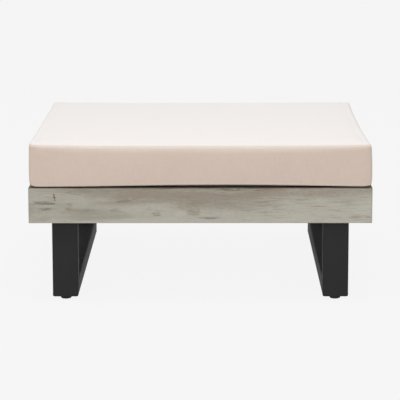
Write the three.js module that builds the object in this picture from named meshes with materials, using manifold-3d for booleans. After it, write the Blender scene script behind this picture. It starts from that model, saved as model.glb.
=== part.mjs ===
// Outdoor ottoman: a loose box cushion on a mitred wooden seat frame with two steel sled legs.
// Millimetres. X runs across the seat, the front faces -Y, +Z is up.
// The origin is on the floor, under the middle of the seat.

import * as THREE from "three";
import { mergeVertices } from "three/addons/utils/BufferGeometryUtils.js";
import Module from "manifold-3d";

const wasm = await Module();
wasm.setup();

// Clearances
const jointGap = 0.3; // between two pieces that are glued, welded or laid together at an angle
const runningGap = 0.3; // between a moving piece and what guides it
const overrun = 5; // how far a cutting tool runs past what it cuts

// Seat frame
const seatWidth = 800;
const seatDepth = 800;
const railHeight = 83;
const railThickness = 28;
const railArris = 3; // rounding of a rail's long edges
const frameCorner = 4; // rounding of the seat frame's upright corners

// Seat slats
const slatCount = 9;
const slatWidth = 62;
const slatThickness = 18;
const slatArris = 2;
const slatEndGap = 1; // lets a slat swell

// Cross members that carry the slats
const legBearerWidth = 58;
const centreBearerWidth = 45;

// Corner blocks inside the mitres
const blockSide = 24;
const blockHeight = 60;
const blockChamfer = 8;

// Sled legs
const legHeight = 178; // from the underside of the tube to the underside of the rails
const legInsetX = 53; // from the end of the seat frame to the leg's outer face
const legInsetY = 15; // from the front of the seat frame to the front of the leg
const tubeWidth = 60; // across the seat
const tubeDepth = 40; // the other side of the tube's section
const tubeWall = 2;
const tubeCorner = 4; // outer rounding of the tube
const plateThickness = 5;
const plateCorner = 4;

// Leg bolts
const boltCount = 4; // in each leg
const boltEndMargin = 100; // from the end of the top plate to the first bolt
const boltRadius = 3;
const boltHeadRadius = 6;
const boltHeadHeight = 3.4;
const boltLength = 40; // under the head
const boltSocketWidth = 4; // across the flats of the hexagon socket
const boltSocketDepth = 2;
const boltHoleGap = 0.4; // around the shank, in the plate and in the bearer

// Levelling feet
const footHeight = 8; // from the floor to the tube, screwed home
const footTravel = 10; // how far a foot can be screwed out
const padRadius = 13;
const padFlatRadius = 9.5; // of the flat under the pad
const padLip = 1.4; // thickness of the lip that holds the stem's head
const stemRadius = 3.8;
const stemEngagement = 12; // what stays in the tube when the foot is screwed out
const stemHeadRadius = 6;
const stemHeadHeight = 2.2;
const insertFlangeRadius = 8;
const insertFlangeHeight = 1;
const insertRadius = 5.5;
const insertLength = 14; // inside the tube

// Cushion
const cushionInset = 0.5; // from the outside of the seat frame to the cushion's outermost point
const cushionHeight = 93; // at the edge of its top panel
const cushionCrown = 6; // how much higher its middle is
const cushionCorner = 20; // rounding of its upright corners
const topRoll = 20; // rounding along its top edge
const bottomRoll = 6; // rounding along its bottom edge, at the corners
const bottomArch = 4; // how much larger that rounding is halfway along a side
const sideDrawIn = 5; // how far each side is pulled in between its corners
const sideBulge = 4; // how far the middle of a side stands out past its bottom edge
const coverWall = 3; // fabric with its fibre lining
const foamGap = 0.5;

// Zip in the back of the cover
const zipLength = 500;
const zipTapeHeight = 3; // of each of the two tapes
const zipTapeThickness = 1.6;
const zipSplit = 1.6; // between the two tapes
const sliderLength = 10;
const sliderHeight = 7.4;
const sliderPlate = 1.4; // thickness of its outer plate
const sliderInnerPlate = 1;
const sliderNeckLength = 3;
const sliderNeckHeight = 1;
const bailSpan = 4.4; // of the bail's window
const bailRise = 1.9;
const bailBar = 0.9;
const bailWidth = 1.8;
const pullLength = 24;
const pullWidth = 7;
const pullThickness = 1;
const pullEyeLength = 3.8;
const pullEyeWidth = 3;

// How finely round shapes are divided, in counts
const arrisSteps = 3;
const tubeSteps = 4;
const boltSides = 12;
const footSides = 20;
const cushionCornerSteps = 4;
const outerRollSteps = 4;
const innerRollSteps = 2;

// Heights and places that follow from the sizes above
const frameBottom = footHeight + legHeight;
const frameTop = frameBottom + railHeight;
const slatBottom = frameTop - slatThickness;
const insideWidth = seatWidth - 2 * railThickness;
const insideDepth = seatDepth - 2 * railThickness;
const legX = seatWidth / 2 - legInsetX - tubeWidth / 2;
const legLength = seatDepth - 2 * legInsetY;
const postHeight = legHeight - plateThickness;
const cushionBottom = frameTop + jointGap;
const cushionWidth = seatWidth - 2 * cushionInset;
const cushionDepth = seatDepth - 2 * cushionInset;

// Finishes
const weatheredWood = new THREE.MeshStandardMaterial({ color: 0xa29c90, roughness: 0.75, metalness: 0 });
const blackSteel = new THREE.MeshStandardMaterial({ color: 0x2b2b2c, roughness: 0.5, metalness: 0.2 });
const zincSteel = new THREE.MeshStandardMaterial({ color: 0xa8abb0, roughness: 0.35, metalness: 1 });
const footPlastic = new THREE.MeshStandardMaterial({ color: 0x1c1c1d, roughness: 0.6, metalness: 0 });
const beigeFabric = new THREE.MeshStandardMaterial({ color: 0xd9c8ba, roughness: 0.9, metalness: 0 });
const paleFoam = new THREE.MeshStandardMaterial({ color: 0xe9e2cf, roughness: 0.95, metalness: 0 });
const zipTapeFabric = new THREE.MeshStandardMaterial({ color: 0xc9b8a9, roughness: 0.85, metalness: 0 });

// Solids for cutting and joining

function solid(geometry) {
  const plain = geometry.index ? geometry.toNonIndexed() : geometry.clone();
  plain.deleteAttribute("normal");
  plain.deleteAttribute("uv");
  const merged = mergeVertices(plain);
  return new wasm.Manifold(
    new wasm.Mesh({
      numProp: 3,
      vertProperties: merged.attributes.position.array,
      triVerts: new Uint32Array(merged.index.array),
    }),
  );
}

function geometryOf(made) {
  const mesh = made.getMesh();
  const geometry = new THREE.BufferGeometry();
  geometry.setAttribute("position", new THREE.BufferAttribute(mesh.vertProperties, 3));
  geometry.setIndex(new THREE.BufferAttribute(mesh.triVerts, 1));
  return geometry;
}

function cut(geometry, ...tools) {
  return geometryOf(tools.reduce((left, tool) => left.subtract(solid(tool)), solid(geometry)));
}

function join(geometry, ...others) {
  return geometryOf(others.reduce((left, other) => left.add(solid(other)), solid(geometry)));
}

function common(geometry, other) {
  return geometryOf(solid(geometry).intersect(solid(other)));
}

function named(name, geometry, material, x = 0, y = 0, z = 0) {
  const mesh = new THREE.Mesh(geometry, material);
  mesh.name = name;
  mesh.position.set(x, y, z);
  return mesh;
}

// Outlines and the shapes made from them

// A rectangle with round corners, centred on the origin.
function roundedRectangle(width, height, radius, Kind = THREE.Shape) {
  const x = width / 2;
  const y = height / 2;
  const outline = new Kind();
  outline.moveTo(radius - x, -y);
  outline.lineTo(x - radius, -y);
  outline.absarc(x - radius, radius - y, radius, -Math.PI / 2, 0);
  outline.lineTo(x, y - radius);
  outline.absarc(x - radius, y - radius, radius, 0, Math.PI / 2);
  outline.lineTo(radius - x, y);
  outline.absarc(radius - x, y - radius, radius, Math.PI / 2, Math.PI);
  outline.lineTo(-x, radius - y);
  outline.absarc(radius - x, radius - y, radius, Math.PI, 1.5 * Math.PI);
  return outline;
}

function polygon(points) {
  return new THREE.Shape(points.map(([x, y]) => new THREE.Vector2(x, y)));
}

// A straight bar of one section along Z, centred on the origin.
function bar(section, length, curveSegments) {
  const geometry = new THREE.ExtrudeGeometry(section, { depth: length, bevelEnabled: false, curveSegments });
  return geometry.translate(0, 0, -length / 2);
}

// Turns a bar along Z to lie along X: its section's x goes to Y and its y to Z.
function alongX(geometry) {
  return geometry.rotateX(Math.PI / 2).rotateZ(Math.PI / 2);
}

// Turns a bar along Z to lie along Y: its section's x stays X and its y goes to Z.
function alongY(geometry) {
  return geometry.rotateX(Math.PI / 2);
}

// A round piece about Z, from a profile of [radius, height] points that starts and ends on the axis.
function turned(profile, sides) {
  const points = profile.map(([radius, height]) => new THREE.Vector2(radius, height));
  return new THREE.LatheGeometry(points, sides).rotateX(Math.PI / 2);
}

// A round tool along Z that starts at a height and runs up.
function drill(radius, length, sides, x = 0, y = 0, z = 0) {
  return new THREE.CylinderGeometry(radius, radius, length, sides)
    .rotateX(Math.PI / 2)
    .translate(x, y, z + length / 2);
}

function boxBetween(low, high) {
  const size = high.map((value, i) => value - low[i]);
  return new THREE.BoxGeometry(...size).translate(...low.map((value, i) => value + size[i] / 2));
}

// Seat frame: four rails whose ends are mitred, with rounded long edges and upright corners

function frameOutline() {
  return bar(roundedRectangle(seatWidth, seatDepth, frameCorner), railHeight + 2 * overrun, arrisSteps);
}

// The wedge of the plan that one rail keeps: its outside face is at -Y and both ends are at 45 degrees.
function mitreWedge(length, depth) {
  const half = length / 2 + overrun;
  const face = -depth / 2;
  const shift = jointGap * Math.SQRT1_2;
  const points = [
    [shift - half, face - overrun],
    [half - shift, face - overrun],
    [half - shift - railThickness - 2 * overrun, face + railThickness + overrun],
    [shift + railThickness + 2 * overrun - half, face + railThickness + overrun],
  ];
  return bar(polygon(points), railHeight + 2 * overrun, 1);
}

function rail(name, alongWidth, sign) {
  const length = alongWidth ? seatWidth : seatDepth;
  const depth = alongWidth ? seatDepth : seatWidth;
  const section = roundedRectangle(railThickness, railHeight, railArris);
  const blank = alongX(bar(section, length, arrisSteps)).translate(0, (railThickness - depth) / 2, 0);
  const mitred = common(blank, mitreWedge(length, depth));
  const turn = alongWidth ? (sign < 0 ? 0 : Math.PI) : (sign * Math.PI) / 2;
  const placed = mitred.rotateZ(turn);
  return named(name, common(placed, frameOutline()), weatheredWood, 0, 0, frameBottom + railHeight / 2);
}

function cornerBlock(name, signX, signY) {
  const half = blockSide / 2;
  const outline = polygon([
    [-half, -half],
    [half - blockChamfer, -half],
    [half, blockChamfer - half],
    [half, half],
    [-half, half],
  ]);
  const block = bar(outline, blockHeight, 1).rotateZ(blockTurn(signX, signY));
  const x = signX * (insideWidth / 2 - half);
  const y = signY * (insideDepth / 2 - half);
  return named(name, block, weatheredWood, x, y, slatBottom - jointGap - blockHeight / 2);
}

// The chamfer of a corner block looks to the middle of the seat.
function blockTurn(signX, signY) {
  return Math.atan2(-signY, -signX) + Math.PI / 4;
}

function seatFrame() {
  const group = new THREE.Group();
  group.add(rail("front_rail", true, -1));
  group.add(rail("back_rail", true, 1));
  group.add(rail("left_rail", false, -1));
  group.add(rail("right_rail", false, 1));
  for (const [endName, signY] of [["front", -1], ["back", 1]]) {
    for (const [sideName, signX] of [["left", -1], ["right", 1]]) {
      group.add(cornerBlock(`corner_block_${endName}_${sideName}`, signX, signY));
    }
  }
  return group;
}

// Cross members from the front rail to the back rail

function boltPlaces() {
  const reach = legLength / 2 - boltEndMargin;
  return Array.from({ length: boltCount }, (_, i) => reach * ((2 * i) / (boltCount - 1) - 1));
}

function bearer(name, width, x, bolted) {
  const height = slatBottom - frameBottom;
  const section = roundedRectangle(width, height, slatArris);
  const beam = alongY(bar(section, insideDepth, arrisSteps)).translate(0, 0, height / 2);
  const holes = boltPlaces().map((y) =>
    drill(boltRadius + boltHoleGap, boltLength + overrun, boltSides, 0, y, -overrun),
  );
  return named(name, bolted ? cut(beam, ...holes) : beam, weatheredWood, x, 0, frameBottom);
}

function slat(index) {
  const section = roundedRectangle(slatWidth, slatThickness, slatArris);
  const pitch = insideDepth / slatCount;
  const y = (index - (slatCount - 1) / 2) * pitch;
  const board = alongX(bar(section, insideWidth - 2 * slatEndGap, arrisSteps));
  return named(`slat_${index + 1}`, board, weatheredWood, 0, y, slatBottom + slatThickness / 2);
}

function seatDeck() {
  const group = new THREE.Group();
  group.add(bearer("left_leg_bearer", legBearerWidth, -legX, true));
  group.add(bearer("right_leg_bearer", legBearerWidth, legX, true));
  group.add(bearer("centre_bearer", centreBearerWidth, 0, false));
  for (let i = 0; i < slatCount; i++) group.add(slat(i));
  return group;
}

// Sled legs, each drawn about its own middle with its underside at zero

function tubeSection(width, depth) {
  const section = roundedRectangle(width, depth, tubeCorner);
  const inside = roundedRectangle(
    width - 2 * tubeWall,
    depth - 2 * tubeWall,
    tubeCorner - tubeWall,
    THREE.Path,
  );
  section.holes.push(inside);
  return section;
}

// What lies under the two mitres of a leg, as seen from the side, less half a joint gap.
function underMitres() {
  const half = legLength / 2 - jointGap * Math.SQRT1_2;
  const points = [
    [-half - overrun, -overrun],
    [half + overrun, -overrun],
    [half - tubeDepth - overrun, tubeDepth + overrun],
    [tubeDepth + overrun - half, tubeDepth + overrun],
  ];
  return sideways(points);
}

// What lies above the mitre of a post at +Y.
function overMitre() {
  const half = legLength / 2 + jointGap * Math.SQRT1_2;
  const points = [
    [half + overrun, -overrun],
    [half + overrun, postHeight + overrun],
    [half - tubeDepth - overrun, postHeight + overrun],
    [half - tubeDepth - overrun, tubeDepth + overrun],
  ];
  return sideways(points);
}

// A prism across the tube from an outline in Y and Z.
function sideways(points) {
  return alongX(bar(polygon(points), tubeWidth + 2 * overrun, 1));
}

function bottomTube(name) {
  const tube = alongY(bar(tubeSection(tubeWidth, tubeDepth), legLength, tubeSteps));
  const mitred = common(tube.translate(0, 0, tubeDepth / 2), underMitres());
  const holes = footPlaces().map((y) =>
    drill(insertRadius + runningGap, tubeWall + 2 * overrun, footSides, 0, y, -overrun),
  );
  return named(name, cut(mitred, ...holes), blackSteel);
}

function post(name, sign) {
  const tube = bar(tubeSection(tubeWidth, tubeDepth), postHeight, tubeSteps);
  const placed = tube.translate(0, (legLength - tubeDepth) / 2, postHeight / 2);
  const mitred = common(placed, overMitre());
  return named(name, sign < 0 ? mitred.rotateZ(Math.PI) : mitred, blackSteel);
}

function topPlate(name) {
  const outline = roundedRectangle(tubeWidth, legLength, plateCorner);
  const plate = bar(outline, plateThickness, tubeSteps).translate(0, 0, plateThickness / 2);
  const holes = boltPlaces().map((y) =>
    drill(boltRadius + boltHoleGap, plateThickness + 2 * overrun, boltSides, 0, y, -overrun),
  );
  return named(name, cut(plate, ...holes), blackSteel, 0, 0, postHeight);
}

// A round-headed bolt with a hexagon socket, its head's seat at zero and its shank up.
function boltGeometry() {
  const profile = [
    [0, -boltHeadHeight],
    [boltHeadRadius * 0.6, -boltHeadHeight],
    [boltHeadRadius * 0.9, -boltHeadHeight * 0.6],
    [boltHeadRadius, -boltHeadHeight * 0.2],
    [boltHeadRadius, 0],
    [boltRadius, 0],
    [boltRadius, boltLength - boltRadius],
    [boltRadius / 2, boltLength],
    [0, boltLength],
  ];
  const socket = drill(boltSocketWidth / Math.sqrt(3), boltSocketDepth + overrun, 6);
  return cut(turned(profile, boltSides), socket.translate(0, 0, -boltHeadHeight - overrun));
}

function sledLeg(side, sign) {
  const group = new THREE.Group();
  group.position.set(sign * legX, 0, footHeight);
  group.add(bottomTube(`${side}_bottom_tube`));
  group.add(post(`${side}_front_post`, -1));
  group.add(post(`${side}_back_post`, 1));
  group.add(topPlate(`${side}_top_plate`));
  boltPlaces().forEach((y, i) => {
    group.add(named(`${side}_leg_bolt_${i + 1}`, boltGeometry(), zincSteel, 0, y, postHeight));
  });
  return group;
}

// Levelling feet, each drawn about its own axis with the floor at zero

function footPlaces() {
  const y = (legLength - tubeDepth) / 2;
  return [-y, y];
}

const insertBottom = footHeight - insertFlangeHeight;
const padTop = insertBottom - runningGap;
const stemHeadTop = padTop - padLip - runningGap;
const stemHeadBottom = stemHeadTop - stemHeadHeight;

function padGeometry() {
  const pocketRadius = stemHeadRadius + runningGap;
  const lipRadius = stemRadius + runningGap;
  const pocketBottom = stemHeadBottom - runningGap;
  const lipBottom = padTop - padLip;
  const edge = padRadius - padFlatRadius;
  const profile = [[0, 0], [padFlatRadius, 0]];
  for (let i = 1; i <= arrisSteps; i++) {
    const angle = (i / arrisSteps) * (Math.PI / 2);
    profile.push([padFlatRadius + edge * Math.sin(angle), edge * (1 - Math.cos(angle))]);
  }
  profile.push([padRadius, padTop - runningGap], [padRadius - runningGap, padTop]);
  profile.push([lipRadius, padTop], [lipRadius, lipBottom], [pocketRadius, lipBottom]);
  profile.push([pocketRadius, pocketBottom], [0, pocketBottom]);
  return turned(profile, footSides);
}

function stemGeometry() {
  const top = footHeight + stemEngagement + footTravel;
  return turned(
    [
      [0, stemHeadBottom],
      [stemHeadRadius, stemHeadBottom],
      [stemHeadRadius, stemHeadTop],
      [stemRadius, stemHeadTop],
      [stemRadius, top - stemRadius / 4],
      [stemRadius * 0.75, top],
      [0, top],
    ],
    footSides,
  );
}

function insertGeometry() {
  const bore = stemRadius + runningGap;
  const top = footHeight + insertLength;
  return turned(
    [
      [bore, insertBottom],
      [insertFlangeRadius, insertBottom],
      [insertFlangeRadius, footHeight],
      [insertRadius, footHeight],
      [insertRadius, top],
      [bore, top],
      [bore, insertBottom],
    ],
    footSides,
  );
}

function levellingFoot(name, x, y) {
  const group = new THREE.Group();
  group.position.set(x, y, 0);
  group.add(named(`${name}_threaded_insert`, insertGeometry(), zincSteel));
  group.add(named(`${name}_foot_stem`, stemGeometry(), zincSteel));
  group.add(named(`${name}_foot_pad`, padGeometry(), footPlastic));
  return group;
}

function levellingFeet() {
  const group = new THREE.Group();
  const [front, back] = footPlaces();
  for (const [endName, y] of [["front", front], ["back", back]]) {
    for (const [sideName, x] of [["left", -legX], ["right", legX]]) {
      group.add(levellingFoot(`${endName}_${sideName}`, x, y));
    }
  }
  return group;
}

// Cushion: a crowned box whose sides draw in between its corners

// A side is drawn in evenly as far as the zip and its slider reach, and swings out from there.
const evenReach = zipLength / 2 + sliderLength;
const evenStart = 0.5 - evenReach / (cushionWidth - 2 * cushionCorner);

// Where points lie along a side: where it starts to swing out, and on the way to its corner.
const sideStationShares = [evenStart / 4, evenStart, 0.5, 1 - evenStart, 1 - evenStart / 4];

// Points round a unit outline: for each, the corner it belongs to and how far it has turned there,
// or the side it lies on and how far along it is.
function outlineStations() {
  const stations = [];
  for (let corner = 0; corner < 4; corner++) {
    const start = (corner * Math.PI) / 2;
    for (let i = 0; i <= cushionCornerSteps; i++) {
      stations.push({ corner, angle: start + (i / cushionCornerSteps) * (Math.PI / 2) });
    }
    for (const along of sideStationShares) {
      stations.push({ corner, angle: start + Math.PI / 2, along });
    }
  }
  return stations;
}

const cornerSigns = [
  [1, 1],
  [-1, 1],
  [-1, -1],
  [1, -1],
];

// The point of a station on a rounded rectangle of these half sizes.
function outlinePoint(station, halfX, halfY, radius) {
  const at = ([signX, signY]) => [
    signX * (halfX - radius) + radius * Math.cos(station.angle),
    signY * (halfY - radius) + radius * Math.sin(station.angle),
  ];
  const from = at(cornerSigns[station.corner]);
  if (station.along === undefined) return from;
  const to = at(cornerSigns[(station.corner + 1) % 4]);
  return from.map((value, i) => value + (to[i] - value) * station.along);
}

// How sharply a side swings out to its corners, and how flat the crown and the bottom edge are.
const swingPower = 2;
const crownPower = 4;

// One closed skin of the cushion, offset inwards by a thickness.
function cushionSkin(offset, rollSteps) {
  const stations = outlineStations();
  const halfX = cushionWidth / 2 - offset;
  const halfY = cushionDepth / 2 - offset;
  const corner = cushionCorner - offset;
  const low = cushionBottom + offset;
  const high = cushionBottom + cushionHeight - offset;
  const roll = topRoll - offset;
  const positions = [];

  // How far along its side a place is: zero halfway, one at the corners.
  const sideShare = (x, y) => Math.min(1, Math.abs(x) / (halfX - corner), Math.abs(y) / (halfY - corner));

  const drawnIn = (x, y) => {
    const swing = (sideShare(x, y) - (1 - 2 * evenStart)) / (2 * evenStart);
    return sideDrawIn * (1 - Math.max(0, swing) ** swingPower);
  };

  const addRing = (inset, heightAt, shrink = 1) => {
    for (const station of stations) {
      const [x, y] = outlinePoint(station, halfX - inset, halfY - inset, Math.max(corner - inset, corner / 4));
      const onX = Math.abs(x) / halfX > Math.abs(y) / halfY;
      const drawn = drawnIn(x, y);
      const px = onX ? x - Math.sign(x) * drawn : x;
      const py = onX ? y : y - Math.sign(y) * drawn;
      positions.push(px * shrink, py * shrink, heightAt(x * shrink, y * shrink));
    }
  };

  const crownAt = (x, y) => {
    const across = Math.min(1, Math.abs(x) / (halfX - roll));
    const along = Math.min(1, Math.abs(y) / (halfY - roll));
    return high + cushionCrown * (1 - across ** crownPower) * (1 - along ** crownPower);
  };

  // Bottom panel, then the bottom edge, which is rounder halfway along each side.
  const bottomInset = bottomRoll + bottomArch + sideBulge;
  addRing(bottomInset, () => low);
  const archAt = (x, y) => bottomRoll + bottomArch * (1 - sideShare(x, y) ** crownPower) - offset;
  for (let i = 1; i <= rollSteps; i++) {
    const angle = (i / rollSteps) * (Math.PI / 2);
    const inset = sideBulge + (bottomRoll + bottomArch) * (1 - Math.sin(angle));
    addRing(inset, (x, y) => low + archAt(x, y) * (1 - Math.cos(angle)));
  }

  // Side, full at the middle of its height.
  const sideShares = [0.3, 0.65];
  for (const share of sideShares) {
    const inset = sideBulge * (1 - Math.sin((share * Math.PI) / 2)) ** 2;
    addRing(inset, (x, y) => {
      const start = low + archAt(x, y);
      return start + (high - roll - start) * share;
    });
  }

  // Top edge, then the crowned top panel.
  for (let i = 0; i <= rollSteps; i++) {
    const angle = (i / rollSteps) * (Math.PI / 2);
    addRing(roll * (1 - Math.cos(angle)), () => high - roll * (1 - Math.sin(angle)));
  }
  const topShrinkShares = [0.9, 0.7, 0.4];
  for (const shrink of topShrinkShares) addRing(roll, crownAt, shrink);

  return closedLoft(positions, stations.length, low, crownAt(0, 0));
}

// Joins rings of points into a closed skin, with a fan to a point at each end.
function closedLoft(positions, count, lowHeight, highHeight) {
  const rings = positions.length / (3 * count);
  const faces = [];
  for (let ring = 0; ring + 1 < rings; ring++) {
    for (let i = 0; i < count; i++) {
      const a = ring * count + i;
      const b = ring * count + ((i + 1) % count);
      faces.push(a, b, b + count, a, b + count, a + count);
    }
  }
  const lowest = rings * count;
  const highest = lowest + 1;
  for (let i = 0; i < count; i++) {
    const next = (i + 1) % count;
    faces.push(lowest, next, i);
    faces.push(highest, lowest - count + i, lowest - count + next);
  }
  const geometry = new THREE.BufferGeometry();
  const all = [...positions, 0, 0, lowHeight, 0, 0, highHeight];
  geometry.setAttribute("position", new THREE.Float32BufferAttribute(all, 3));
  geometry.setIndex(faces);
  return geometry;
}

// The zip lies flat in the back of the cover, at the middle of its height.
const zipFace = cushionDepth / 2 - sideDrawIn;
const zipHeight = cushionBottom + cushionHeight / 2;
const zipSlotHeight = 2 * zipTapeHeight + zipSplit + 2 * runningGap;
const zipTapeBack = zipFace - zipTapeThickness;

function cushionCover() {
  const slot = boxBetween(
    [-zipLength / 2 - runningGap, zipFace - coverWall - foamGap, zipHeight - zipSlotHeight / 2],
    [zipLength / 2 + runningGap, zipFace + overrun, zipHeight + zipSlotHeight / 2],
  );
  return named("cushion_cover", cut(cushionSkin(0, outerRollSteps), cushionSkin(coverWall, innerRollSteps), slot), beigeFabric);
}

function zipTape(name, sign) {
  const inner = zipHeight + (sign * zipSplit) / 2;
  const outer = inner + sign * zipTapeHeight;
  const tape = boxBetween(
    [-zipLength / 2, zipTapeBack, Math.min(inner, outer)],
    [zipLength / 2, zipFace, Math.max(inner, outer)],
  );
  return named(name, tape, zipTapeFabric);
}

// The slider is drawn about the middle of its length, with the tapes' outer face at zero and
// the outside of the cushion towards +Y.
const outerPlateTop = runningGap + sliderPlate;
const pullAxisY = outerPlateTop + bailRise / 2;

function sliderGeometry() {
  const plate = bar(roundedRectangle(sliderLength, sliderHeight, sliderHeight / 4), sliderPlate, arrisSteps);
  const outer = alongY(plate).translate(0, runningGap + sliderPlate / 2, 0);
  const innerTop = -zipTapeThickness - runningGap;
  const inner = boxBetween(
    [-sliderLength / 2, innerTop - sliderInnerPlate, -sliderHeight / 2],
    [sliderLength / 2, innerTop, sliderHeight / 2],
  );
  const neck = boxBetween(
    [sliderLength / 2 - sliderNeckLength, innerTop - sliderInnerPlate / 2, -sliderNeckHeight / 2],
    [sliderLength / 2, runningGap + sliderPlate / 2, sliderNeckHeight / 2],
  );
  const bailBlock = boxBetween(
    [-bailSpan / 2 - bailBar, outerPlateTop - sliderPlate / 2, -bailWidth / 2],
    [bailSpan / 2 + bailBar, outerPlateTop + bailRise + bailBar, bailWidth / 2],
  );
  const window = boxBetween(
    [-bailSpan / 2, outerPlateTop, -bailWidth],
    [bailSpan / 2, outerPlateTop + bailRise, bailWidth],
  );
  return join(outer, inner, neck, cut(bailBlock, window));
}

// The pull lies along +X from its bar, which is on the origin and held in the slider's bail.
function pullGeometry() {
  const section = roundedRectangle(pullLength, pullWidth, pullWidth / 2 - pullThickness / 2);
  const tab = bar(section, pullThickness, arrisSteps).translate(pullLength / 2 - pullThickness / 2, 0, 0);
  const eye = bar(roundedRectangle(pullEyeLength, pullEyeWidth, pullThickness / 2), pullThickness * 2, arrisSteps);
  return alongY(cut(tab, eye.translate(pullThickness / 2 + pullEyeLength / 2, 0, 0)));
}

function zip() {
  const group = new THREE.Group();
  group.add(zipTape("upper_zip_tape", 1));
  group.add(zipTape("lower_zip_tape", -1));
  const slider = new THREE.Group();
  slider.position.set(sliderLength / 2 - zipLength / 2, zipFace, zipHeight);
  slider.add(named("zip_slider", sliderGeometry(), zincSteel));
  slider.add(named("zip_pull", pullGeometry(), zincSteel, 0, pullAxisY, 0));
  group.add(slider);
  return group;
}

function cushion() {
  const group = new THREE.Group();
  group.add(cushionCover());
  group.add(named("foam_core", cushionSkin(coverWall + foamGap, innerRollSteps), paleFoam));
  group.add(zip());
  return group;
}

const ottoman = new THREE.Group();
ottoman.add(seatFrame());
ottoman.add(seatDeck());
ottoman.add(sledLeg("left", -1));
ottoman.add(sledLeg("right", 1));
ottoman.add(levellingFeet());
ottoman.add(cushion());

export default ottoman;
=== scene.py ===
# %% [markdown]
# # An outdoor ottoman
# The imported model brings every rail, slat, tube, bolt and foot at its real size and place.
# This lesson dresses it: weathered boards, powder-coated steel, a sewn cushion with its zip,
# and the small things that a hand would find on the real one. Everything is in metres,
# the front looks to -Y, and each new piece rides on a body of the model.

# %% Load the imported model
import math

import bmesh
import bpy
import numpy as np
from mathutils import Matrix, Vector, noise


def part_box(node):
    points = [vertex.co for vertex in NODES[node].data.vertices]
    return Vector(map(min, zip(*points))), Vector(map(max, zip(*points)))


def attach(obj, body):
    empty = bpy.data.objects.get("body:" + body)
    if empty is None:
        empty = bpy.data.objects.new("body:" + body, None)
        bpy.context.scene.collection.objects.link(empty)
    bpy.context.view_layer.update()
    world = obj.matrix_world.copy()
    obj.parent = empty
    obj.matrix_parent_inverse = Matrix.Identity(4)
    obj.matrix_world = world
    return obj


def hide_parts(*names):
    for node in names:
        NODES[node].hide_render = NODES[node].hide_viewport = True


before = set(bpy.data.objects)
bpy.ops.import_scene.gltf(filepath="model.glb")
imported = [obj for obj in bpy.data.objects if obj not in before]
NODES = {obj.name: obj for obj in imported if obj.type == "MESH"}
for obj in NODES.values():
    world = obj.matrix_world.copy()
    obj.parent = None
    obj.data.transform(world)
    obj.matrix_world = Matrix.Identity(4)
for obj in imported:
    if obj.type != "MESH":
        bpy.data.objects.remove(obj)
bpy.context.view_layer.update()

MM = 0.001

# %% [markdown]
# ## Node trees as sums
# A material is easier to read as a sum than as a web of wires. A small class wraps a socket and
# adds a Math node whenever two values are added or multiplied. Every other node, in a material
# or in a Geometry Nodes tree, comes from one method.

# %% A socket that can be used in a sum
def adds(operation, swapped=False):
    """A method that adds a Math node for its own value and the other ones."""
    def method(self, *others):
        values = (*others, self) if swapped else (self, *others)
        settings, sockets = {"operation": operation}, dict(enumerate(values))
        return self.tree.node("ShaderNodeMath", settings, sockets)
    return method


class Value:
    """A socket of a node tree."""
    __add__ = __radd__ = adds("ADD")
    __mul__ = __rmul__ = adds("MULTIPLY")
    __sub__, __rsub__ = adds("SUBTRACT"), adds("SUBTRACT", swapped=True)
    __truediv__, __pow__, __abs__ = adds("DIVIDE"), adds("POWER"), adds("ABSOLUTE")
    sine, floor, larger = adds("SINE"), adds("FLOOR"), adds("MAXIMUM")

    def __init__(self, tree, socket):
        self.tree, self.socket = tree, socket


class Tree:
    """A node tree that is filled one node at a time."""

    def __init__(self, tree):
        self.tree = tree

    def node(self, kind, settings=None, inputs=None, output=0):
        made = self.tree.nodes.new(kind)
        for key, value in (settings or {}).items():
            setattr(made, key, value)
        for key, value in (inputs or {}).items():
            if isinstance(value, Value):
                self.tree.links.new(value.socket, made.inputs[key])
            else:
                made.inputs[key].default_value = value
        return Value(self, made.outputs[output]) if made.outputs else made

    def whole(self, x, y, z):
        return self.node("ShaderNodeCombineXYZ", inputs={0: x, 1: y, 2: z})

    def seen_directly(self):
        """One for rays of the camera, of gloss and of glass, so these see plain white paper."""
        rays = self.node("ShaderNodeLightPath").socket.node.outputs
        camera_ray, glossy_ray, glass_ray = (Value(self, rays[i]) for i in (0, 3, 6))
        return camera_ray.larger(glossy_ray).larger(glass_ray)


# %% A material, its place on the piece and its common nodes
class Finish(Tree):
    """A material. Its patterns read the piece's own coordinates, in metres."""

    def __init__(self, name):
        self.material = bpy.data.materials.new(name)
        self.material.use_nodes = True
        super().__init__(self.material.node_tree)
        self.tree.nodes.clear()
        self.place = self.node("ShaderNodeTexCoord", output=3)

    def parts(self, vector):
        split = self.node("ShaderNodeSeparateXYZ", inputs={0: vector}).socket.node
        return [Value(self, split.outputs[i]) for i in range(3)]

    def grain(self, vector, scale, detail=3.0, roughness=0.5):
        sockets = {0: vector, 2: scale, 3: detail, 4: roughness}
        return self.node("ShaderNodeTexNoise", inputs=sockets)

    def ease(self, value, low, high, start=0.0, end=1.0):
        sockets = {0: value, 1: low, 2: high, 3: start, 4: end}
        return self.node("ShaderNodeMapRange", {"interpolation_type": "SMOOTHSTEP"}, sockets)

    def mix(self, share, first, second):
        sockets = {0: share, 6: first, 7: second}
        return self.node("ShaderNodeMix", {"data_type": "RGBA"}, sockets, output=2)

    def bump(self, height, strength, distance):
        return self.node("ShaderNodeBump", inputs={0: strength, 1: distance, 3: height})

    def attribute(self, name):
        return self.node("ShaderNodeAttribute", {"attribute_name": name}, output=2)

    def surface(self, **sockets):
        """Closes the material with a Principled shader; words in the names stand for spaces."""
        named = {key.replace("_", " "): value for key, value in sockets.items()}
        shader = self.node("ShaderNodeBsdfPrincipled", inputs=named)
        self.node("ShaderNodeOutputMaterial", inputs={0: shader})
        return self.material


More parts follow.
